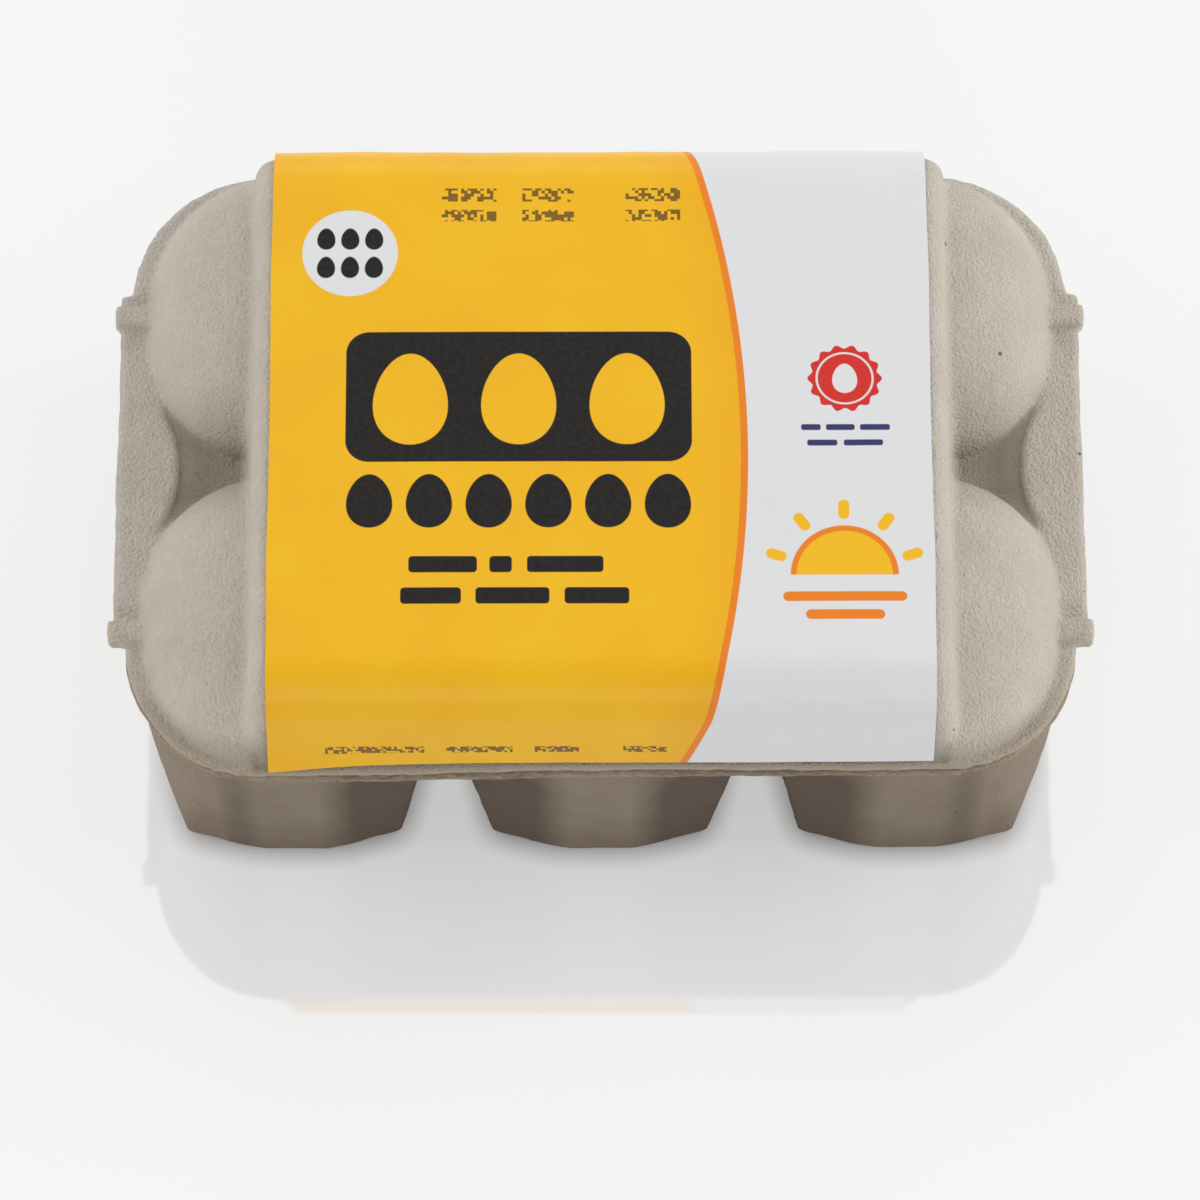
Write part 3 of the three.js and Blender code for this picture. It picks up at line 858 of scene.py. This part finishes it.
def print_fields(graph, x, y, place):
    """Yellow and white fields that meet along an arc with an orange stripe."""
    blotch = graph.noise(place, 0.05, 2.0)
    color = graph.mix(graph.spread(blotch, 0.35, 0.7, 0.0, 0.5), YELLOW, AMBER)
    border = graph.math("SUBTRACT", graph.length(
        graph.math("ADD", x, 150.0), graph.math("ADD", y, 6.0)), 172.0)
    color = graph.mix(graph.spread(border, -9.0, -1.0, 0.0, 0.6), color, AMBER)
    color = layer(graph, color, graph.math("MULTIPLY", border, -1.0), PAPER_WHITE)
    stripe = graph.math("SUBTRACT", graph.math("ABSOLUTE", border), 0.55)
    return layer(graph, color, stripe, ORANGE)


def code_prints(graph, x, y, color):
    """Two rows of brown marks at the back and one of smaller marks at the front."""
    code = graph.union([
        graph.bar(x, y, (-6.0, 37.7), (18.5, 1.15), 0.2),
        graph.bar(x, y, (-6.0, 34.1), (18.5, 1.0), 0.2),
    ])
    code_marks = dotted_code(graph, x, y, (-6.0, 35.8), (18.5, 3.2), (0.5, 0.52), 0.58)
    code_share = graph.math("MULTIPLY", code_marks, graph.fill(code))
    color = graph.mix(graph.math("MULTIPLY", code_share, 0.85), color, CODE_BROWN)
    small = dotted_code(graph, x, y, (-16.0, -58.2), (26.0, 0.85), (0.42, 0.44), 0.6)
    return graph.mix(graph.math("MULTIPLY", small, 0.85), color, CODE_BROWN)


def label_material(name):
    """Coated paper with a print of plain fields and simple shapes."""
    graph = Graph(name)
    source = graph.tree.nodes.new("ShaderNodeAttribute")
    source.attribute_name = "print_place"
    place = source.outputs["Vector"]
    x, y, _ = graph.split(place)
    color = print_fields(graph, x, y, place)
    for motif in (egg_badge, word_bars, count_disc, sunrise, rosette, code_prints):
        color = motif(graph, x, y, color)

    paper = graph.noise(place, 1.3, 3.0, 0.6)
    color = graph.mix(graph.spread(paper, 0.4, 0.75, 0.0, 0.012), color, PAPER_FIBRE)
    graph.plug(graph.shader.inputs["Base Color"], color)
    graph.plug(graph.shader.inputs["Roughness"], graph.spread(paper, 0.3, 0.7, 0.36, 0.46))
    graph.shader.inputs["Specular IOR Level"].default_value = 0.22
    fine = graph.bump(paper, 0.00004, 0.5)
    broad = graph.bump(graph.noise(place, 0.09, 2.0), 0.0007, 0.25, fine)
    graph.plug(graph.shader.inputs["Normal"], broad)
    return graph.material


FLOOR_GLOW = 0.5
CONTACT_REACH = 4.0


def floor_material(name):
    """A pale glossy table top, lit softly from below, darker where something stands on it."""
    graph = Graph(name)
    place = graph.tree.nodes.new("ShaderNodeTexCoord").outputs["Object"]
    shade = graph.spread(graph.noise(place, 3.0, 2.0), 0.3, 0.7)
    color = graph.mix(shade, paint(150, 150, 150), paint(153, 153, 153))
    graph.plug(graph.shader.inputs["Base Color"], color)
    glow = graph.mix(shade, paint(252, 252, 252), paint(255, 255, 255))
    graph.plug(graph.shader.inputs["Emission Color"], glow)
    # Painted contact shadow: an occlusion node dims the floor's glow near the carton's feet
    contact = graph.tree.nodes.new("ShaderNodeAmbientOcclusion")
    contact.samples = 4
    contact.inputs["Distance"].default_value = CONTACT_REACH * MM
    strength = graph.math("MULTIPLY", contact.outputs["AO"], FLOOR_GLOW)
    graph.plug(graph.shader.inputs["Emission Strength"], strength)
    graph.shader.inputs["Roughness"].default_value = 0.05
    graph.shader.inputs["IOR"].default_value = 2.5
    return graph.material


# Stage


def area_light(name, location, target, size, power):
    light = bpy.data.lights.new(name, "AREA")
    light.shape = "RECTANGLE"
    light.size, light.size_y = size
    light.energy = power
    lamp = bpy.data.objects.new(name, light)
    lamp.location = location
    lamp.rotation_euler = (Vector(target) - Vector(location)).to_track_quat("-Z", "Y").to_euler()
    bpy.context.scene.collection.objects.link(lamp)


def make_floor():
    half = 3.0
    corners = np.array([[-half, -half, 0], [half, -half, 0], [half, half, 0], [-half, half, 0]]) / MM
    floor = make_object("floor", corners, np.array([[0, 1, 2, 3]]))
    floor.data.materials.append(floor_material("floor_gloss"))


# The photograph's frame is 1200 pixels wide. The reference point, in metres, lies in the
# carton's front half near the seam's height. Its pixel and the scale there fix the view.
FRAME_PIXELS = 1200
REFERENCE_POINT = Vector((0, -0.027, 0.046))
REFERENCE_PIXEL = (600.7, 635.4)
PIXELS_PER_MM = 6.475
CAMERA_DISTANCE = 1.13
CAMERA_ELEVATION = math.radians(66.3)
CAMERA_AZIMUTH = math.radians(0.5)
CAMERA_ROLL = math.radians(0.35)
SENSOR_MM = 36.0


def make_camera():
    data = bpy.data.cameras.new("camera")
    data.sensor_width = SENSOR_MM
    focal_pixels = PIXELS_PER_MM * CAMERA_DISTANCE / MM
    data.lens = focal_pixels * SENSOR_MM / FRAME_PIXELS
    data.clip_end = 20
    camera = bpy.data.objects.new("camera", data)
    flat = math.cos(CAMERA_ELEVATION)
    toward = Vector((
        -flat * math.sin(CAMERA_AZIMUTH), -flat * math.cos(CAMERA_AZIMUTH), math.sin(CAMERA_ELEVATION)))
    right = Vector((math.cos(CAMERA_AZIMUTH), -math.sin(CAMERA_AZIMUTH), 0))
    up = toward.cross(right)
    shift_x = (FRAME_PIXELS / 2 - REFERENCE_PIXEL[0]) / PIXELS_PER_MM * MM
    shift_y = (REFERENCE_PIXEL[1] - FRAME_PIXELS / 2) / PIXELS_PER_MM * MM
    camera.location = REFERENCE_POINT + toward * CAMERA_DISTANCE
    target = REFERENCE_POINT + right * shift_x + up * shift_y
    turn = (target - camera.location).to_track_quat("-Z", "Y").to_matrix()
    roll = Vector((0, 0, 1))
    camera.rotation_euler = (turn @ turn.Rotation(CAMERA_ROLL, 3, roll)).to_euler()
    bpy.context.scene.collection.objects.link(camera)
    bpy.context.scene.camera = camera


def make_lights():
    scene = bpy.context.scene
    world = bpy.data.worlds.new("studio")
    scene.world = world
    world.use_nodes = True
    background = world.node_tree.nodes["Background"]
    background.inputs["Color"].default_value = (0.98, 0.99, 1.0, 1)
    background.inputs["Strength"].default_value = 0.33
    area_light("overhead_panel", (0, 0.53, 1.25), (0, 0, 0.03), (1.6, 1.1), 3.4)
    area_light("left_soft", (-1.2, 0.1, 0.5), (0, 0, 0.05), (0.7, 0.5), 7.2)
    area_light("right_soft", (1.2, 0.1, 0.5), (0, 0, 0.05), (0.7, 0.5), 10.5)
    area_light("back_soft", (0, 1.3, 0.6), (0, 0, 0.06), (1.4, 0.4), 6)
    area_light("front_soft", (0, -1.4, 0.7), (0, 0, 0.05), (1.2, 0.5), 7)
    scene.view_settings.view_transform = "Standard"


PULP_LIGHT = paint(196, 188, 176)
PULP_DARK = paint(185, 176, 163)
# Painted shade: the tray is the lid's pulp, painted darker and browner all over
TRAY_PAINTED_SHADE_LIGHT = paint(164, 152, 137)
TRAY_PAINTED_SHADE_DARK = paint(148, 134, 118)


def make_carton():
    margin = 1.5
    length = LUG_X + LUG_HALF_LENGTH + margin
    depth = RIM_HALF_DEPTH + margin
    lid = pulp_piece(
        "lid_pulp", lid_distance, (-length, -depth, HINGE_BOTTOM_Z - margin),
        (length, depth, LID_TOP_Z + margin), LID_STEP, 71, (SEAM_Z,))
    tray = pulp_piece(
        "tray_pulp", tray_distance, (-length, -depth, -margin),
        (length, depth, TRAY_TOP_Z + margin), TRAY_STEP, 81, (0.0, TRAY_TOP_Z))
    label = label_piece("label_paper_sleeve")
    lid.data.materials.append(pulp_material("lid_pulp_finish", PULP_LIGHT, PULP_DARK, 0))
    tray.data.materials.append(pulp_material("tray_pulp_finish", TRAY_PAINTED_SHADE_LIGHT, TRAY_PAINTED_SHADE_DARK, 40, True))
    label.data.materials.append(label_material("label_print"))
    for piece, node, slot in (
            (lid, "lid", "pulp_lid"), (tray, "tray", "pulp_tray"), (label, "label", "label_paper")):
        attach(piece, "root")
        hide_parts(node)


make_camera()
make_lights()
make_floor()
make_carton()
